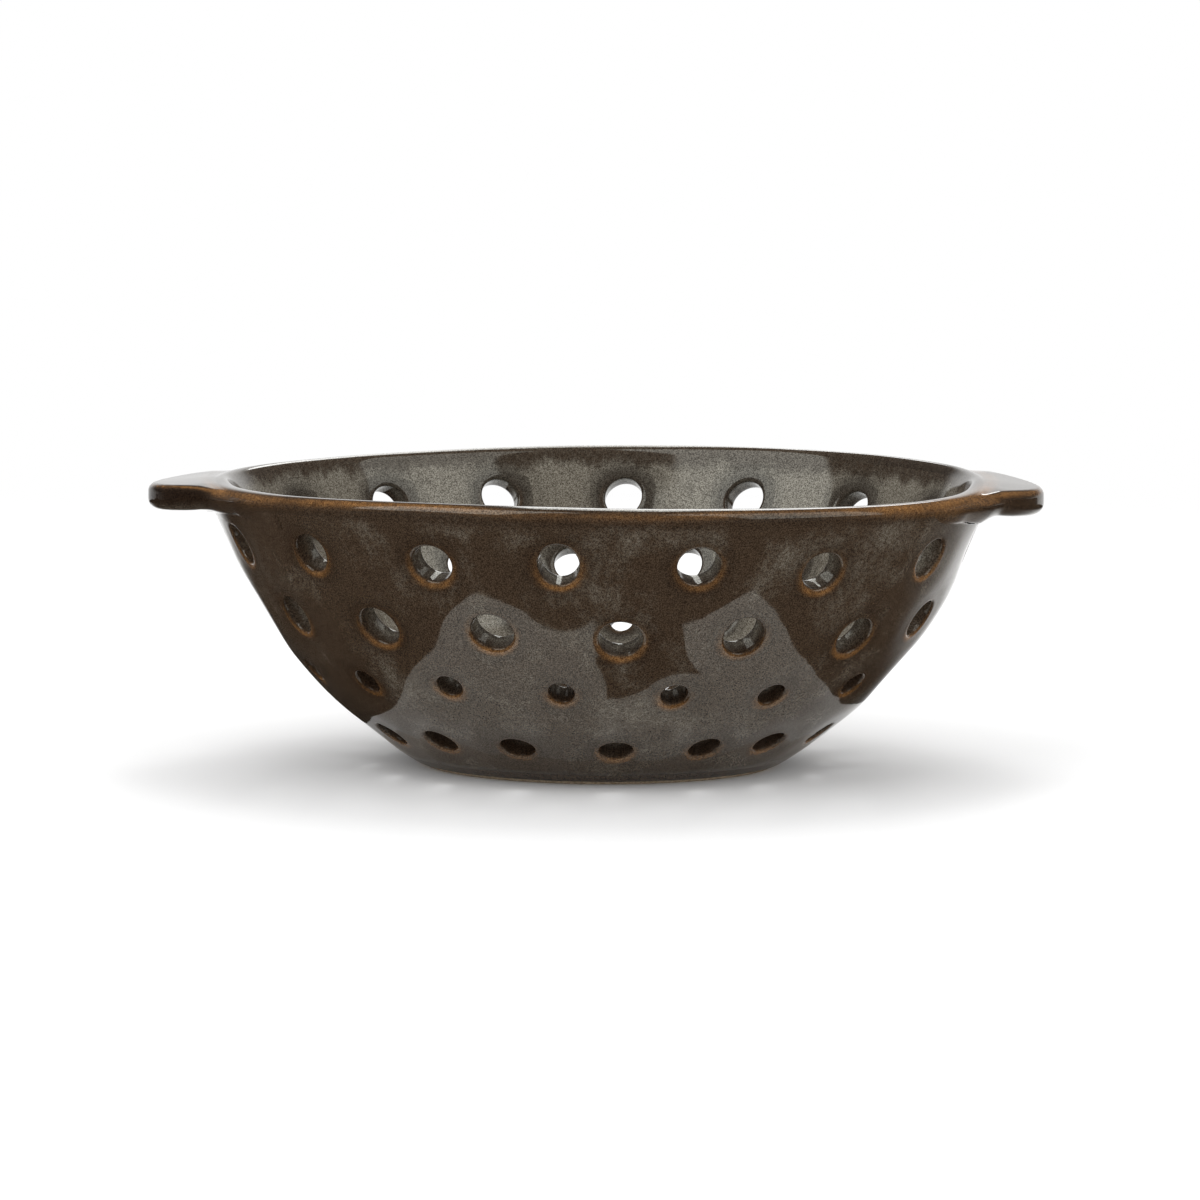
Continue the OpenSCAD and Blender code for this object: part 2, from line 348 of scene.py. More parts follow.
# The unevenness of a hand-made pot: a slight twist of the rim, and slow ripples of the wall
TWIST = 0.188
FRONT_LIFT = 0.0002
FRONT_DIP = 0.0006
LEFT_DIP = 0.0006
DIP_TURNS = np.radians([15, 60, 66, 90])
HANDLE_SHIFT = -0.0009
RIPPLE_LENGTHS = np.array([0.060, 0.045, 0.034, 0.027, 0.021, 0.018])
RIPPLE_SLOPE = 0.016
ripple_ways = rng.normal(size=(len(RIPPLE_LENGTHS), 3))
ripple_ways /= np.linalg.norm(ripple_ways, axis=1, keepdims=True)
ripple_starts = rng.uniform(0, 2 * math.pi, len(RIPPLE_LENGTHS))


def hand_made(points):
    x, y, z = points.T
    waves = 2 * math.pi / RIPPLE_LENGTHS
    ripple = (RIPPLE_SLOPE / waves * np.sin(points @ ripple_ways.T * waves + ripple_starts)).sum(1)
    reach = np.hypot(x, y / OVAL)
    share = smooth_step(z / HEIGHT)
    out = 1 + ripple * share / np.maximum(reach, FOOT_REACH)
    turn = np.abs(np.arctan2(x, -y / OVAL))
    dip = smooth_step((turn - DIP_TURNS[0]) / (DIP_TURNS[1] - DIP_TURNS[0]))
    dip = dip * (1 - smooth_step((turn - DIP_TURNS[2]) / (DIP_TURNS[3] - DIP_TURNS[2])))
    lift = FRONT_LIFT * smooth_step(-y / bowl_high.y) - FRONT_DIP * dip
    lift = lift - LEFT_DIP * smooth_step(-x / RIM_REACH)
    lift = lift * (z / HEIGHT) ** 6
    shift = HANDLE_SHIFT * smooth_step((np.abs(x) - LIP_CENTRE[0]) / (TIP_REACH - LIP_CENTRE[0]))
    return np.stack([x * out + shift, y * out, z + TWIST * x * y * (z / HEIGHT) ** 2 + lift], 1)


def hand_made_normals(points, normals):
    """The normals after hand_made, from how it stretches the space round each point."""
    nudge = 1e-5
    steps = nudge * np.eye(3)
    columns = [(hand_made(points + s) - hand_made(points - s)) / (2 * nudge) for s in steps]
    turned = np.linalg.solve(np.stack(columns, -2), normals[..., None])[..., 0]
    return turned / np.linalg.norm(turned, axis=1, keepdims=True)


def make_piece(name, skin, material, node, normals=None):
    points, faces, marks = skin.welded()
    mesh = bpy.data.meshes.new(name)
    mesh.from_pydata(hand_made(points).tolist(), [], faces)
    # Marks kept on the mesh: the worn edge, how far inside, and painted shade
    for key, values in zip(("edge", "inside", "painted_shade"), marks):
        mesh.attributes.new(key, "FLOAT", "POINT").data.foreach_set("value", values.astype(np.float32))
    bm = bmesh.new()
    bm.from_mesh(mesh)
    bmesh.ops.recalc_face_normals(bm, faces=bm.faces)
    bm.to_mesh(mesh)
    bm.free()
    mesh.polygons.foreach_set("use_smooth", [True] * len(mesh.polygons))
    mesh.set_sharp_from_angle(angle=SHARP)
    if normals is not None:
        mesh.normals_split_custom_set_from_vertices(hand_made_normals(points, normals(points)).tolist())
    mesh.materials.append(material)
    piece = bpy.data.objects.new(name, mesh)
    bpy.context.scene.collection.objects.link(piece)
    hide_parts(node)
    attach(piece, "root")
    return piece


# Rings of each hole's cell, and how far the worn edge of its mouth reaches, whose mark is also painted light:
# strong on the lower half of each mouth, which faces up to the light, and weak on the upper half in shade
SHEET_RINGS = 6
SHEET_CROWDING = 1.6
ROUND_RINGS = 4
TUBE_RINGS = 4
EDGE_WIDTH = 0.0009
EDGE_DEPTH = 0.0007
# Painted light: the share of the edge mark left on the upper half of each mouth, against the lit lower half
PAINTED_LIGHT_UPPER_SHARE = 0.25
EDGE_MOST = 0.86


def hole_rings(radius, thickness):
    """Rings down a hole as (radius, depth share, edge mark), from one mouth to the other."""
    turns = np.linspace(0, math.pi / 2, ROUND_RINGS + 1)
    mouth = [
        (radius + HOLE_ROUND * (1 - math.sin(a)), HOLE_ROUND * (1 - math.cos(a)) / thickness)
        for a in turns
    ]
    deeps = np.linspace(mouth[-1][1], 1 - mouth[-1][1], TUBE_RINGS + 1)[1:-1]
    rings = mouth + [(radius, d) for d in deeps] + [(r, 1 - d) for r, d in mouth[::-1]]
    marks = [math.exp(-((min(d, 1 - d) * thickness / EDGE_DEPTH) ** 2)) for r, d in rings]
    return [(r, d, mark) for (r, d), mark in zip(rings, marks)]


def add_hole_cell(skin, hole):
    """A cell of the wall, outside and inside, with its hole."""
    border = hole.border()
    angles = np.arange(len(border)) * 2 * math.pi / len(border)
    angles = angles + math.atan2(border[0][1], border[0][0])
    mouth = hole.circle(hole.radius + HOLE_ROUND, angles)
    shares = 1 - (1 - np.linspace(0, 1, SHEET_RINGS)) ** SHEET_CROWDING
    sheet = [border + (mouth - border) * s for s in shares]
    rings = hole_rings(hole.radius, WALL)
    spots = np.array(sheet[:-1] + [hole.circle(r, angles) for r, d, e in rings] + sheet[-2::-1])
    flat = len(sheet) - 1
    depths = np.array([0] * flat + [d for r, d, e in rings] + [1] * flat, float)
    gaps = np.maximum(np.hypot(spots[..., 0], spots[..., 1]) - hole.radius - HOLE_ROUND, 0)
    marks = np.array([1.0] * flat + [e for r, d, e in rings] + [1.0] * flat)[:, None]
    # Painted light: the edge mark is stronger on the lower half of the mouth and weaker on the shaded upper
    # half
    lower = 0.5 - 0.5 * spots[..., 1] / np.hypot(spots[..., 0], spots[..., 1])
    edge = EDGE_MOST * marks * np.exp(-((gaps / EDGE_WIDTH) ** 2)) * (PAINTED_LIGHT_UPPER_SHARE + (1 - PAINTED_LIGHT_UPPER_SHARE) * lower)
    depth = np.broadcast_to(depths[:, None], gaps.shape)
    points = wall_point(hole.turn + spots[..., 0] / hole.round_length, hole.level + spots[..., 1], depth)
    # Painted shade down the bore, darkest halfway through the wall
    painted_shade = np.sin(math.pi * depths) ** 0.5
    skin.add_grid(points, edge, depth, painted_shade[:, None], closed=True)


# The lip: its flat top, which turns level in front, and the worn line along its outer edge
LIP_STEPS = 20
LIP_FULLNESS = 0.76
LIP_LEVEL = math.radians(26)
LIP_LEVEL_FROM = 0.15
LIP_LEVEL_RUN = 0.5
LIP_EDGE_MIDDLE = math.radians(34)
LIP_EDGE_WIDTH = math.radians(22)
LIP_EDGE_LEAST = 0.6
LIP_FLANK_FROM = 0.14
LIP_FLANK_RUN = 0.28
LIP_FLANK_RISE = math.radians(18)
LIP_END_FROM = 0.45
LIP_END_SPREAD = {-1: math.radians(12), 1: math.radians(34)}
around_turns = np.arange(AROUND) / AROUND


def lip_level(front):
    """How far the lip's flat top turns from square to the wall towards level, which it does in front."""
    return LIP_LEVEL * smooth_step((front + LIP_LEVEL_FROM) / LIP_LEVEL_RUN)


def lip_mark(turns, share):
    """Where the glaze runs thin on the lip's outer edge: higher at the flanks, and wide at the handles."""
    ends = smooth_step((np.abs(share) - LIP_END_FROM) / (1 - LIP_END_FROM))
    flanks = smooth_step((np.abs(share) - LIP_FLANK_FROM) / LIP_FLANK_RUN)
    spread = np.where(share > 0, LIP_END_SPREAD[1], LIP_END_SPREAD[-1]) * ends
    middle = LIP_EDGE_MIDDLE + LIP_FLANK_RISE * flanks * (1 - ends) + spread / 2
    strength = LIP_EDGE_LEAST + (1 - LIP_EDGE_LEAST) * flanks
    return np.exp(-(((turns - middle) / (LIP_EDGE_WIDTH + spread)) ** 2)) * strength


def add_lip(skin):
    turns = np.linspace(0, math.pi, LIP_STEPS + 1)
    across = np.sign(np.cos(turns)) * np.abs(np.cos(turns)) ** LIP_FULLNESS
    up = np.abs(np.sin(turns)) ** LIP_FULLNESS
    angle = angle_at(around_turns)
    square = np.arctan2(up, across)[:, None]
    level_turn = square + lip_level(np.cos(angle)) * np.sin(square)
    size = LIP_RADIUS * np.hypot(across, up)[:, None]
    across, up = size * np.cos(level_turn), size * np.sin(level_turn)
    profile = LIP_CENTRE + across[..., None] * WALL_OUT + up[..., None] * WALL_UP
    grid = oval_point(profile, angle[None, :])
    level = np.full(AROUND, WALL_LENGTH)
    sunk = dimple(around_turns, level)[None, :] * (1 - DIMPLE_INSIDE * turns / math.pi)[:, None]
    grid = grid - sunk[..., None] * wall_normal(level, angle)[None]
    edge = lip_mark(turns[:, None], np.sin(angle)[None])
    skin.add_grid(grid, edge, (turns / math.pi)[:, None], closed=True)


# The floor: points round each hole, grid of the sheet between, and rings of points about each mouth
FLOOR_MOUTH = FLOOR_BORE / 2 + HOLE_ROUND
FLOOR_HOLE_POINTS = 40
FLOOR_GRAIN = 0.004
FLOOR_RINGS = (0.0004, 0.0009, 0.0015, 0.0023, 0.0033)
FLOOR_INSIDE = 0.995


def floor_holes():
    angles = 2 * math.pi * np.arange(FLOOR_RING_HOLES) / FLOOR_RING_HOLES
    ring = FLOOR_RING_REACH * np.stack([np.cos(angles), OVAL * np.sin(angles)], 1)
    return [np.zeros(2), *ring]


def add_floor_sheet(skin, border, height, inside):
    """A level sheet with the floor's holes, from a border to the rims of the holes."""
    turns = 2 * math.pi * np.arange(FLOOR_HOLE_POINTS) / FLOOR_HOLE_POINTS
    mouth = FLOOR_MOUTH * np.stack([np.cos(turns), np.sin(turns)], 1)
    loops = [border] + [middle + mouth for middle in floor_holes()]
    reach = border[:, 0].max()
    steps = np.arange(-reach, reach, FLOOR_GRAIN)
    grains = np.array([(x + (j % 2) * FLOOR_GRAIN / 2, y) for j, y in enumerate(steps) for x in steps])
    clear = np.hypot(grains[:, 0], grains[:, 1] / OVAL) < reach - FLOOR_GRAIN / 2
    for middle in floor_holes():
        clear &= np.hypot(*(grains - middle).T) > FLOOR_MOUTH + FLOOR_GRAIN
    rings = [m + mouth * (1 + out / FLOOR_MOUTH) for m in floor_holes() for out in FLOOR_RINGS]
    spots = np.concatenate(loops + rings + [grains[clear]])
    edges, start = [], 0
    for loop in loops:
        n = len(loop)
        edges += [(start + k, start + (k + 1) % n) for k in range(n)]
        start += n
    _, _, faces, sources, _, _ = delaunay_2d_cdt([Vector(s) for s in spots], edges, [], 0, 1e-7)
    found = np.array([spots[source[0]] for source in sources])
    kept = []
    for face in faces:
        middle = found[list(face)].mean(0)
        if all(np.hypot(*(middle - m)) >= FLOOR_INSIDE * FLOOR_MOUTH for m in floor_holes()):
            kept.append(list(face))
    points = np.column_stack([found, np.full(len(found), height)])
    gaps = np.min([np.hypot(*(found - m).T) - FLOOR_MOUTH for m in floor_holes()], axis=0)
    skin.add(points, kept, np.exp(-((np.maximum(gaps, 0) / EDGE_WIDTH) ** 2)), inside)


def add_floor_hole(skin, middle):
    turns = 2 * math.pi * np.arange(FLOOR_HOLE_POINTS) / FLOOR_HOLE_POINTS
    rings = hole_rings(FLOOR_BORE / 2, FLOOR_THICKNESS)
    grid = np.array([
        np.stack([middle[0] + r * np.cos(turns), middle[1] + r * np.sin(turns),
                  np.full(len(turns), FLOOR_TOP - d * FLOOR_THICKNESS)], -1)
        for r, d, e in rings
    ])
    _, depths, edges = np.array(rings).T[:, :, None]
    # The last mark is painted shade down the bore
    skin.add_grid(grid, edges, 1 - depths, np.sin(math.pi * depths) ** 0.5, closed=True)


def bowl_body(material):
    skin = Skin()
    for hole in holes:
        add_hole_cell(skin, hole)
    add_lip(skin)
    level = np.zeros(AROUND)
    for depth, height in ((0, SEAM_HEIGHT), (1, FLOOR_TOP)):
        border = wall_point(around_turns, level, np.full(AROUND, float(depth)))[:, :2]
        add_floor_sheet(skin, border, height, depth)
    for middle in floor_holes():
        add_floor_hole(skin, middle)
    return make_piece("bowl_body_glazed", skin, material, "bowl_body")


def foot_ring(material):
    """The foot: the belly carried on down, a rounded bare band, and a short inner wall."""
    skin = Skin()
    heights = np.linspace(SEAM_HEIGHT, FOOT_EDGE, 4)
    fall = np.arcsin((BELLY_CENTRE[1] - heights) / BELLY_RADIUS)
    flank = BELLY_CENTRE + BELLY_RADIUS * np.stack([np.cos(fall), -np.sin(fall)], 1)
    turns = np.linspace(0, math.pi / 2, 5)
    edge_reach = FOOT_REACH - 0.9 * FOOT_EDGE
    outer_edge = [(edge_reach + FOOT_EDGE * math.cos(a), FOOT_EDGE * (1 - math.sin(a))) for a in turns[1:]]
    inner = FOOT_REACH - FOOT_BAND
    inner_edge = [(inner + FOOT_EDGE * (1 - math.sin(a)), FOOT_EDGE * (1 - math.cos(a))) for a in turns]
    profile = np.array([*flank, *outer_edge, *inner_edge, (inner, SEAM_HEIGHT)])
    grid = oval_point(profile[:, None, :], angle_at(around_turns)[None, :])
    grid = np.concatenate([grid, grid[:1]])
    bare = np.concatenate([np.zeros(len(flank)), np.ones(len(profile) - len(flank) + 1)])
    skin.add_grid(grid, bare[:, None], 0, closed=True)
    return make_piece("foot_ring_bare", skin, material, "foot_ring")


def smooth_least(a, b, blend):
    """The lesser of two distances, with a round hollow of about that radius where they cross."""
    near = np.maximum(blend - np.abs(a - b), 0)
    return np.minimum(a, b) - near**2 / (4 * np.maximum(blend, 1e-9))


def lip_square(points):
    """Points' places across and up the lip, as if its flat top were square to the wall and not level."""
    x, y, z = points.T
    reach = np.hypot(x, y / OVAL)
    spot = np.stack([reach, z], 1) - LIP_CENTRE
    across, up = spot @ WALL_OUT, np.maximum(spot @ WALL_UP, 0)
    most = lip_level(-y / OVAL / reach)
    level_turn = np.arctan2(up, across)
    square = level_turn
    for _ in range(6):
        square = square - (square + most * np.sin(square) - level_turn) / (1 + most * np.cos(square))
    size = np.hypot(across, up)
    return size * np.cos(square), np.maximum(size * np.sin(square), 0)


def lip_distance(points):
    """Distance from the upper wall and its lip, below 0 inside the clay."""
    across, up = lip_square(points)
    power = 2 / LIP_FULLNESS
    return (np.abs(across) ** power + up**power) ** (1 / power) - LIP_RADIUS


def lip_turn(points):
    """How far round the lip, from its outer side, points on it lie."""
    across, up = lip_square(points)
    return np.arctan2(up ** (1 / LIP_FULLNESS), np.sign(across) * np.abs(across) ** (1 / LIP_FULLNESS))


def rim_sink(points):
    """How the dimples of the wall's holes move points on the outside of the rim, and not those on a lug."""
    x, y, z = points.T
    angle = np.arctan2(x, -y / OVAL)
    rise = (np.stack([np.hypot(x, y / OVAL), z], 1) - LIP_CENTRE) @ WALL_UP
    level = np.minimum(WALL_LENGTH + rise, WALL_LENGTH)
    sunk = dimple(turn_at(angle), level) * (1 - DIMPLE_INSIDE * lip_turn(points) / math.pi)
    sunk = sunk * (1 - smooth_step(lip_distance(points) / DIMPLE_DEPTH / 2))
    return sunk[:, None] * wall_normal(level, angle)


def lug_plan(points):
    """Distance from the right handle's outline, seen from above."""
    x, y = points.T[:2]
    run = TIP_REACH - RIM_REACH + LUG_INSET
    grown = LUG_FLARE + run - 2 * math.sqrt(LUG_FLARE * run)
    tip = np.hypot(x - (TIP_REACH - grown - LUG_TIP_RADIUS), y) - LUG_TIP_RADIUS
    rim = np.hypot(x, y / OVAL) - (RIM_REACH - LUG_INSET)
    return smooth_least(tip, rim, LUG_FLARE)


def lug_faces(points):
    """Heights of the lug's upper and lower faces, which droop to its tip and close up to either side."""
    droop = np.maximum(points[:, 0] - RIM_REACH, 0) * math.tan(LUG_DROOP)
    low, high = LUG_SIDES
    aside = smooth_step((np.abs(points[:, 1]) - low) / (high - low))
    top = HEIGHT - LUG_DROP - droop
    return top - LUG_SINK * aside, top - LUG_THICKNESS + LUG_TAPER * aside


def handle_low(points, side):
    """Height of the lower border of a handle's clay on the wall, which goes round the holes."""
    turn = turn_at(np.arctan2(points[:, 0] * side, -points[:, 1] / OVAL))
    low = np.full(len(points), HANDLE_LOW)
    for hole in holes[:HOLES_PER_ROW]:
        across = np.abs((turn - hole.turn + 0.5) % 1 - 0.5) * hole.round_length
        clear = hole.radius + HOLE_ROUND
        top = outer_profile(np.array(hole.level))[1] + clear * WALL_UP[1] + HOLE_CLEAR
        low = np.maximum(low, top + (HANDLE_LOW - top) * smooth_step((across - clear) / HOLE_CLEAR_RUN))
    return low


def handle_distance(points, side):
    """Distance from the wall with a handle at +X, whose corners with the wall are filled by hand."""
    top, bottom = lug_faces(points)
    half = (top - bottom) / 2
    reach = np.hypot(points[:, 0], points[:, 1] / OVAL)
    plan = np.maximum(lug_plan(points), LIP_CENTRE[0] - LUG_THICKNESS / 2 - reach)
    up = points[:, 2] - (top + bottom) / 2
    edge = np.minimum(np.where(up > 0, LUG_TOP_ROUND, LUG_UNDER_ROUND), half)
    across, tall = plan + edge, np.abs(up) - half + edge
    corner = np.hypot(np.maximum(across, 0), np.maximum(tall, 0))
    lug = corner + np.minimum(np.maximum(across, tall), 0) - edge
    under = smooth_step((half - up) / half)
    low = handle_low(points, side)
    room = np.maximum(bottom - low, LUG_TOP_BLEND)
    blend = LUG_TOP_BLEND + (np.minimum(LUG_COVE_BLEND, room) - LUG_TOP_BLEND) * under
    blend = blend * smooth_step((reach - LIP_CENTRE[0]) / LIP_RADIUS)
    blend = blend * smooth_step((points[:, 2] - low) / (room / 2))
    blend = blend * smooth_step((HANDLE_SIDE - np.abs(points[:, 1])) / LUG_TIP_RADIUS)
    return smooth_least(lip_distance(points), lug, blend)


def slope_of(distance, points):
    nudge = 1e-6
    steps = nudge * np.eye(3)
    return np.stack([(distance(points + s) - distance(points - s)) / (2 * nudge) for s in steps], 1)


def settle(points, distance, rounds=12):
    """Moves points onto the surface where the distance is 0."""
    for _ in range(rounds):
        slope = slope_of(distance, points)
        points = points - (distance(points) / (slope**2).sum(1))[:, None] * slope
    return points


# The handles' pads: a fan of stations round each end, and how their borders run into the wall
HANDLE_STATIONS = 129
HANDLE_STEPS = 57
HANDLE_FAN = math.radians(68)
HANDLE_FAN_CENTRE = 0.050
HANDLE_LOW = 0.0520
HANDLE_SIDE = 0.045
HANDLE_SINK = 0.0005
HANDLE_TUCK = 0.00005
HOLE_CLEAR = 0.0003
HOLE_CLEAR_RUN = 0.0105


def even_path(corners, steps):
    lengths = np.concatenate([[0], np.cumsum(np.linalg.norm(np.diff(corners, axis=0), axis=1))])
    at = np.linspace(0, lengths[-1], steps)
    return np.stack([np.interp(at, lengths, corners[:, k]) for k in range(2)], 1)


def reach_along(way, distance):
    """How far out along a level way from the fan's centre the outermost crossing of a distance lies."""
    outs = np.linspace(0.005, TIP_REACH, 6000)
    points = np.array([HANDLE_FAN_CENTRE, 0, 0]) + outs[:, None] * np.array([*way, 0])
    inside = distance(points) < 0
    return outs[np.max(np.nonzero(inside)[0])]


def handle_sheet(side, with_lug):
    """A sheet over the right handle, or over the plain rim under it, from the lip's crest to the wall."""
    grid = []
    for turn in np.linspace(-HANDLE_FAN, HANDLE_FAN, HANDLE_STATIONS):
        way = np.array([math.cos(turn), math.sin(turn)])
        crest = reach_along(way, lambda p: np.hypot(p[:, 0], p[:, 1] / OVAL) - LIP_CENTRE[0])
        rim = reach_along(way, lambda p: np.hypot(p[:, 0], p[:, 1] / OVAL) - RIM_REACH)
        low = handle_low(np.array([[HANDLE_FAN_CENTRE + rim * way[0], rim * way[1], 0]]), side)[0]
        rim_low = np.interp(low, [BELLY_TOP[1], WALL_TOP[1]], [BELLY_TOP[0], WALL_TOP[0]])
        wall = reach_along(way, lambda p: np.hypot(p[:, 0], p[:, 1] / OVAL) - rim_low)
        edge = max(reach_along(way, lug_plan), rim) if with_lug else rim
        top, bottom = np.ravel(lug_faces(np.array([[HANDLE_FAN_CENTRE + edge * way[0], edge * way[1], 0]])))
        middle, half = (top + bottom) / 2, (top - bottom) / 2
        round_turns = np.linspace(math.pi / 2, -math.pi / 2, 15)
        end = [(edge - half + half * math.cos(a), middle + half * math.sin(a)) for a in round_turns]
        corners = [(crest, HEIGHT), *end, (max(rim - half, wall), middle - half), (wall, low)]
        path = even_path(np.array(corners), HANDLE_STEPS)
        spots = np.column_stack([HANDLE_FAN_CENTRE + path[:, 0] * way[0], path[:, 0] * way[1], path[:, 1]])
        grid.append(spots)
    return np.array(grid)


def handle(side, material):
    """The handle at one end, as a closed pad that wraps the rim, with a hidden face in the wall."""
    def distance(points):
        return handle_distance(points, side)

    shape = handle_sheet(side, True)
    outer = settle(shape.reshape(-1, 3), distance).reshape(shape.shape)
    hidden = handle_sheet(side, False)
    sunk = settle(hidden.reshape(-1, 3), lambda p: lip_distance(p) + HANDLE_SINK).reshape(hidden.shape)
    skin = Skin()
    flat = outer.reshape(-1, 3)
    normal = slope_of(distance, flat)
    rise = np.arcsin(np.clip(normal[:, 2] / np.linalg.norm(normal, axis=1), -1, 1)).reshape(outer.shape[:2])
    out = smooth_step((lip_distance(flat) / LIP_RADIUS).reshape(outer.shape[:2]))
    reach = np.hypot(flat[:, 0], flat[:, 1] / OVAL)
    rim_edge = lip_mark(lip_turn(flat), side * flat[:, 0] / reach).reshape(out.shape)
    lug_edge = np.exp(-(((rise - LUG_EDGE_RISE[side]) / LUG_EDGE_WIDTH[side]) ** 2))
    edge = rim_edge + (lug_edge - rim_edge) * out
    # Painted shade on the lug's side faces, where the normal lies level
    flank = np.exp(-((rise / LUG_FLANK_SHADE_WIDTH) ** 2)) * out
    tuck = HANDLE_TUCK * (1 - smooth_step(lip_distance(flat) / HANDLE_TUCK / 2))
    outer = (flat - rim_sink(flat) - tuck[:, None] * normal).reshape(outer.shape)
    skin.add_grid(outer, edge, 0, flank * LUG_FLANK_PAINTED_SHADE[side])
    skin.add_grid(sunk, 0, 0)
    for side_of in (lambda g: g[0], lambda g: g[-1], lambda g: g[:, 0], lambda g: g[:, -1]):
        skin.add_grid(np.stack([side_of(outer), side_of(sunk)]), 0, 0)
    name = "right" if side > 0 else "left"
    mirror = np.array([side, 1, 1])
    skin.points = [p * mirror for p in skin.points]

    def normals(points):
        n = slope_of(distance, points * mirror) * mirror
        return n / np.linalg.norm(n, axis=1, keepdims=True)

    return make_piece(name + "_handle_glazed", skin, material, name + "_handle", normals)


class Nodes:
    """Short calls for building a material's nodes."""

    def __init__(self, name):
        self.material = bpy.data.materials.new(name)
        self.material.use_nodes = True
        self.tree = self.material.node_tree
        self.shader = self.tree.nodes["Principled BSDF"]
        self.where = self.tree.nodes.new("ShaderNodeTexCoord").outputs["Object"]

    def put(self, value, socket):
        if isinstance(value, bpy.types.NodeSocket):
            self.tree.links.new(value, socket)
        else:
            socket.default_value = value

    def noise(self, size, detail=2.0, roughness=0.5, distortion=0.0, tall=1.0):
        node = self.tree.nodes.new("ShaderNodeTexNoise")
        node.inputs["Scale"].default_value = 1 / size
        node.inputs["Detail"].default_value = detail
        node.inputs["Roughness"].default_value = roughness
        node.inputs["Distortion"].default_value = distortion
        where = self.where
        if tall != 1:
            squeeze = self.tree.nodes.new("ShaderNodeVectorMath")
            squeeze.operation = "MULTIPLY"
            squeeze.inputs[1].default_value = (1, 1, 1 / tall)
            self.tree.links.new(where, squeeze.inputs[0])
            where = squeeze.outputs[0]
        self.tree.links.new(where, node.inputs["Vector"])
        return node.outputs["Fac"]

    def mark(self, name):
        node = self.tree.nodes.new("ShaderNodeAttribute")
        node.attribute_name = name
        return node.outputs["Fac"]

    def math(self, operation, a, b=0.0, clamp=False):
        node = self.tree.nodes.new("ShaderNodeMath")
        node.operation = operation
        node.use_clamp = clamp
        self.put(a, node.inputs[0])
        self.put(b, node.inputs[1])
        return node.outputs[0]

    def span(self, value, low, high, to_low=0.0, to_high=1.0):
        node = self.tree.nodes.new("ShaderNodeMapRange")
        node.interpolation_type = "SMOOTHSTEP"
        for name, number in (("From Min", low), ("From Max", high), ("To Min", to_low), ("To Max", to_high)):
            node.inputs[name].default_value = number
        self.put(value, node.inputs["Value"])
        return node.outputs["Result"]

    def mix(self, share, a, b):
        node = self.tree.nodes.new("ShaderNodeMix")
        node.data_type = "RGBA"
        sockets = {s.identifier: s for s in node.inputs}
        self.put(share, sockets["Factor_Float"])
        for value, key in ((a, "A_Color"), (b, "B_Color")):
            self.put(value if isinstance(value, bpy.types.NodeSocket) else (*value, 1), sockets[key])
        return next(s for s in node.outputs if s.identifier == "Result_Color")

    def bump(self, height, distance, strength):
        node = self.tree.nodes.new("ShaderNodeBump")
        node.inputs["Distance"].default_value = distance
        node.inputs["Strength"].default_value = strength
        self.tree.links.new(height, node.inputs["Height"])
        for name in ("Normal", "Coat Normal"):
            self.tree.links.new(node.outputs["Normal"], self.shader.inputs[name])


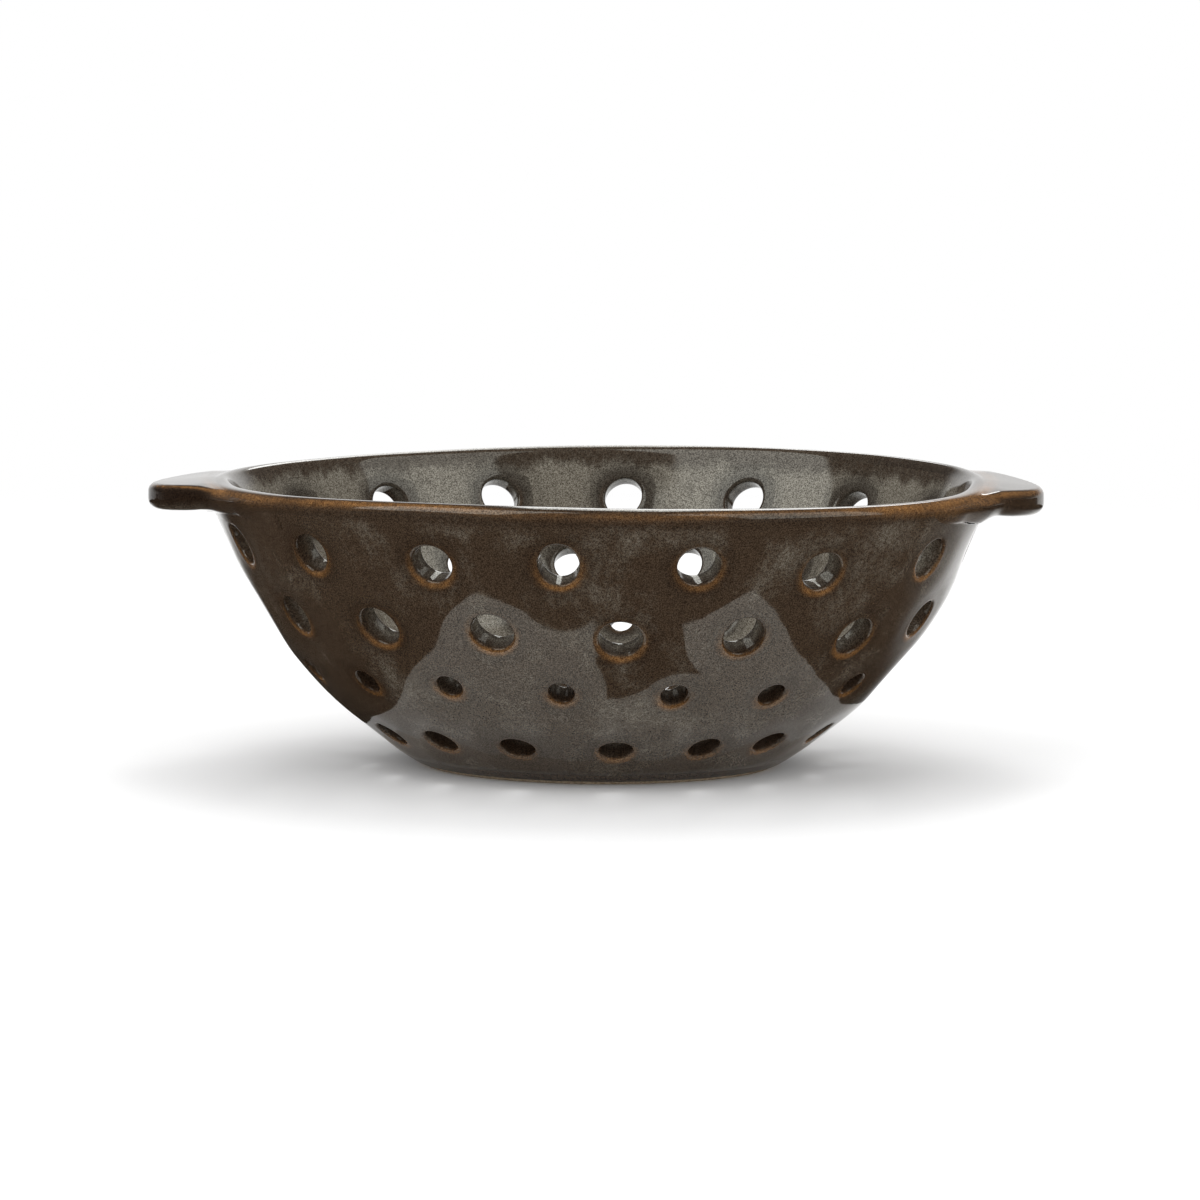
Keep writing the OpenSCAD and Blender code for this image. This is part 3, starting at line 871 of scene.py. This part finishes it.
def glaze():
    """Glossy iron glaze: brown and sage in a fine speckle, breaking to amber where it runs thin, with painted
    light on the lower half of each hole's mouth and painted shade in the bores and on the lugs' sides.
    """
    n = Nodes("speckled_glaze")
    grain = n.span(n.noise(0.00026, 2.0, 0.7), 0.34, 0.66)
    cloud = n.noise(0.020, 3.0, 0.55, 0.4)
    run = n.noise(0.0045, 3.0, 0.6, tall=2.5)
    edge, inside, painted_shade = n.mark("edge"), n.mark("inside"), n.mark("painted_shade")
    height = n.tree.nodes.new("ShaderNodeSeparateXYZ")
    n.tree.links.new(n.where, height.inputs[0])
    brown = n.mix(grain, (0.017, 0.010, 0.006), (0.076, 0.050, 0.031))
    sage = n.mix(grain, (0.070, 0.058, 0.043), (0.340, 0.310, 0.252))
    dark = n.mix(grain, (0.004, 0.002, 0.0015), (0.025, 0.014, 0.008))
    pale = n.math("ADD", cloud, n.math("MULTIPLY", run, 0.45))
    pale = n.math("ADD", pale, n.math("MULTIPLY", inside, 0.40))
    band = n.span(n.math("ADD", height.outputs["Z"], n.math("MULTIPLY", run, 0.007)), 0.0605, 0.0655)
    share = n.math("MULTIPLY", n.span(pale, 0.66, 1.14), n.span(band, 0.0, 1.0, 1.0, 0.1))
    share = n.math("MULTIPLY", share, n.span(inside, 0.3, 0.8, 0.5, 1.0))
    specks = n.span(n.noise(0.0009, 3.0, 0.7), 0.3, 0.7, -0.3, 0.3)
    share = n.math("ADD", share, n.math("MULTIPLY", specks, n.math("POWER", share, 0.5)), clamp=True)
    body = n.mix(share, brown, sage)
    # Painted shade: dark in the bores, darker for lower holes, and on the lugs' side faces
    painted_shade_amount = n.math("MULTIPLY", painted_shade, n.span(height.outputs["Z"], 0.018, 0.040, 0.95, 0.35), clamp=True)
    body = n.mix(painted_shade_amount, body, dark)
    halo = n.math("POWER", edge, 0.3)
    body = n.mix(n.math("MULTIPLY", halo, 0.6), body, dark)
    ring = n.math("MULTIPLY", n.math("POWER", edge, 0.12), n.span(inside, 0.6, 1.0, 0.0, 0.75))
    body = n.mix(ring, body, dark)
    amber = n.mix(grain, (0.105, 0.042, 0.011), (0.420, 0.205, 0.066))
    patchy = n.span(n.noise(0.0011, 3.0, 0.6), 0.34, 0.66, 0.6, 1.0)
    thin = n.math("MULTIPLY", patchy, n.span(cloud, 0.3, 0.65, 0.35, 1.0))
    # Amber where the glaze runs thin on edges; on the holes' mouths it is also painted light, stronger on the
    # lower half
    worn_and_painted_light = n.math("MULTIPLY", n.math("POWER", edge, 2.0), thin)
    worn_and_painted_light = n.math("MULTIPLY", worn_and_painted_light, n.span(inside, 0.3, 0.8, 1.0, 0.3), clamp=True)
    n.put(n.mix(worn_and_painted_light, body, amber), n.shader.inputs["Base Color"])
    n.put(n.span(n.noise(0.008), 0.3, 0.7, 0.05, 0.10), n.shader.inputs["Roughness"])
    # The painted shade also takes away most of the gloss there
    gloss = n.math("MULTIPLY", n.span(grain, 0.0, 1.0, 0.35, 1.25), n.span(painted_shade_amount, 0.0, 1.0, 1.0, 0.15))
    n.put(gloss, n.shader.inputs["Specular IOR Level"])
    n.put((0.99, 1.0, 0.91, 1), n.shader.inputs["Specular Tint"])
    n.bump(n.noise(0.003, 1.0), 0.00002, 0.12)
    return n.material


def clay():
    """Bare buff stoneware on the foot's band, under a glaze that stops just above it."""
    n = Nodes("buff_clay")
    grain = n.noise(0.0006, 3.0, 0.6)
    bare = n.mix(n.span(grain, 0.3, 0.7), (0.33, 0.25, 0.17), (0.56, 0.46, 0.34))
    speckle = n.span(n.noise(0.00045, 2.0, 0.7), 0.36, 0.64)
    brown = n.mix(speckle, (0.022, 0.014, 0.009), (0.105, 0.076, 0.052))
    edge = n.span(n.mark("edge"), 0.45, 0.55)
    n.put(n.mix(edge, brown, bare), n.shader.inputs["Base Color"])
    n.put(n.span(edge, 0.0, 1.0, 0.12, 0.85), n.shader.inputs["Roughness"])
    n.bump(grain, 0.00008, 0.4)
    return n.material


# The stage: the floor, and a card and a shade on it that only reflections see
FLOOR_HALF = 0.9
FLOOR_FADE = (0.16, 0.6)
CARD_HEIGHT = 0.0006
CARD_HALF = 0.6
CARD_BACK = 0.35
CARD_FADE_STARTS = (0.09, -0.005)
CARD_FADE_RUN = 0.13
CARD_FADE_SIDES = (0.14, 0.22)
PAPER_SIDES = (-0.056, 0.066)
PAPER_FRONT = -0.086
SHADE_HALF = (0.051, 0.0395)
SHADE_POINTS = 64
NOTCH = (0.001, 0.030, -0.059)


def flat_sheet(name, rectangles, height, material):
    corners, faces = [], []
    for x0, y0, x1, y1 in rectangles:
        faces.append(tuple(range(len(corners), len(corners) + 4)))
        corners += [(x0, y0, height), (x1, y0, height), (x1, y1, height), (x0, y1, height)]
    mesh = bpy.data.meshes.new(name)
    mesh.from_pydata(corners, [], faces)
    mesh.materials.append(material)
    sheet = bpy.data.objects.new(name, mesh)
    bpy.context.scene.collection.objects.link(sheet)
    return sheet


def stage_floor():
    """A pale floor round the bowl, which thins out to the white behind it."""
    n = Nodes("pale_floor")
    n.put(n.mix(n.noise(0.4), (0.95, 0.95, 0.95), (0.97, 0.97, 0.97)), n.shader.inputs["Base Color"])
    n.put(0.8, n.shader.inputs["Roughness"])
    n.put(0.0, n.shader.inputs["Specular IOR Level"])
    away = n.tree.nodes.new("ShaderNodeVectorMath")
    away.operation = "LENGTH"
    n.tree.links.new(n.where, away.inputs[0])
    n.put(n.span(away.outputs["Value"], *FLOOR_FADE, 1.0, 0.0), n.shader.inputs["Alpha"])
    flat_sheet("floor", [(-FLOOR_HALF, -FLOOR_HALF, FLOOR_HALF, FLOOR_HALF)], 0, n.material)


def dark_card():
    """A dark card that only reflections see, round a sheet of white paper, and a shade about the foot."""
    n = Nodes("dark_card")
    where = n.tree.nodes.new("ShaderNodeSeparateXYZ")
    n.tree.links.new(n.where, where.inputs[0])
    start = n.span(where.outputs["X"], *PAPER_SIDES, *CARD_FADE_STARTS)
    fade = n.span(n.math("SUBTRACT", where.outputs["Y"], start), 0.0, CARD_FADE_RUN)
    aside = n.span(n.math("ABSOLUTE", where.outputs["X"]), *CARD_FADE_SIDES, 1.0, 0.0)
    fade = n.math("MULTIPLY", fade, aside)
    black = n.mix(n.noise(0.05), (0.02, 0.017, 0.014), (0.04, 0.035, 0.03))
    n.put(n.mix(fade, black, (0.95, 0.95, 0.95)), n.shader.inputs["Base Color"])
    n.put(1.0, n.shader.inputs["Roughness"])
    n.put(0.0, n.shader.inputs["Specular IOR Level"])
    left, right = PAPER_SIDES
    card = flat_sheet("dark_card", [
        (-CARD_HALF, -CARD_HALF, CARD_HALF, PAPER_FRONT),
        (-CARD_HALF, PAPER_FRONT, left, CARD_BACK),
        (right, PAPER_FRONT, CARD_HALF, CARD_BACK),
        (NOTCH[0], PAPER_FRONT, NOTCH[1], NOTCH[2]),
    ], CARD_HEIGHT, n.material)
    turns = 2 * math.pi * np.arange(SHADE_POINTS) / SHADE_POINTS
    heights = np.full(SHADE_POINTS, CARD_HEIGHT)
    rim = np.column_stack([SHADE_HALF[0] * np.cos(turns), SHADE_HALF[1] * np.sin(turns), heights])
    mesh = bpy.data.meshes.new("foot_shade")
    mesh.from_pydata(rim.tolist(), [], [tuple(range(SHADE_POINTS))])
    dim = Nodes("foot_shade")
    dim.put(dim.mix(dim.noise(0.05), (0.80, 0.76, 0.72), (0.88, 0.84, 0.80)), dim.shader.inputs["Base Color"])
    dim.put(1.0, dim.shader.inputs["Roughness"])
    dim.put(0.0, dim.shader.inputs["Specular IOR Level"])
    mesh.materials.append(dim.material)
    shade = bpy.data.objects.new("foot_shade", mesh)
    bpy.context.scene.collection.objects.link(shade)
    for sheet in (card, shade):
        sheet.visible_camera = sheet.visible_diffuse = False
        sheet.visible_shadow = sheet.visible_transmission = False


def lamp(name, place, aim, size, watts):
    data = bpy.data.lights.new(name, "AREA")
    data.shape = "RECTANGLE"
    data.size, data.size_y = size
    data.energy = watts
    light = bpy.data.objects.new(name, data)
    light.location = place
    light.rotation_euler = (Vector(aim) - Vector(place)).to_track_quat("-Z", "Y").to_euler()
    bpy.context.scene.collection.objects.link(light)


def white_world(ambient, ceiling):
    """White to the camera and behind the bowl in reflections, dimmer elsewhere in them, soft on the rest."""
    world = bpy.data.worlds.new("studio")
    world.use_nodes = True
    bpy.context.scene.world = world
    tree = world.node_tree

    def join(operation, a, b):
        node = tree.nodes.new("ShaderNodeMath")
        node.operation = operation
        for value, socket in zip((a, b), node.inputs):
            if isinstance(value, bpy.types.NodeSocket):
                tree.links.new(value, socket)
            else:
                socket.default_value = value
        return node.outputs[0]

    def span(value, low, high, to_low, to_high):
        node = tree.nodes.new("ShaderNodeMapRange")
        node.interpolation_type = "SMOOTHSTEP"
        tree.links.new(value, node.inputs["Value"])
        for name, number in (("From Min", low), ("From Max", high), ("To Min", to_low), ("To Max", to_high)):
            node.inputs[name].default_value = number
        return node.outputs["Result"]

    path = tree.nodes.new("ShaderNodeLightPath")
    way = tree.nodes.new("ShaderNodeSeparateXYZ")
    tree.links.new(tree.nodes.new("ShaderNodeTexCoord").outputs["Generated"], way.inputs[0])
    behind = join("SUBTRACT", way.outputs["Y"], join("MULTIPLY", way.outputs["Z"], 2.0))
    behind = join("SUBTRACT", behind, join("MULTIPLY", join("ABSOLUTE", way.outputs["X"], 0.0), 0.8))
    mirrored = span(behind, -0.3, 0.4, ceiling, 1.0)
    glossy = join("MULTIPLY", path.outputs["Is Glossy Ray"], mirrored)
    seen = join("MAXIMUM", path.outputs["Is Camera Ray"], path.outputs["Is Transmission Ray"])
    rest = join("SUBTRACT", 1.0, join("MAXIMUM", seen, path.outputs["Is Glossy Ray"]))
    strength = join("ADD", join("ADD", seen, glossy), join("MULTIPLY", rest, ambient))
    back = tree.nodes["Background"]
    back.inputs["Color"].default_value = (1, 1, 1, 1)
    tree.links.new(strength, back.inputs["Strength"])


def camera():
    data = bpy.data.cameras.new("camera")
    data.sensor_width = SENSOR
    data.lens = FOCAL_PIXELS / IMAGE_SIDE * SENSOR
    data.clip_start, data.clip_end = 0.05, 20
    seen = bpy.data.objects.new("camera", data)
    turn = Matrix((VIEW_RIGHT, VIEW_UP, VIEW_BACK)).transposed()
    seen.matrix_world = Matrix.Translation(EYE) @ turn.to_4x4()
    bpy.context.scene.collection.objects.link(seen)
    bpy.context.scene.camera = seen


camera()
glazed = glaze()
bowl_body(glazed)
foot_ring(clay())
handle(1, glazed)
handle(-1, glazed)
stage_floor()
dark_card()
lamp("key", (-0.8, -0.7, 1.2), (0, 0, 0.03), (1.2, 1.2), 7)
lamp("fill", (1.0, -0.6, 1.0), (0, 0, 0.03), (1.2, 1.2), 4.5)
lamp("back", (0.08, 0.74, 0.95), (0, 0, 0.03), (0.36, 1.25), 6)
white_world(0.75, 0.1)
bpy.context.scene.view_settings.view_transform = "Standard"
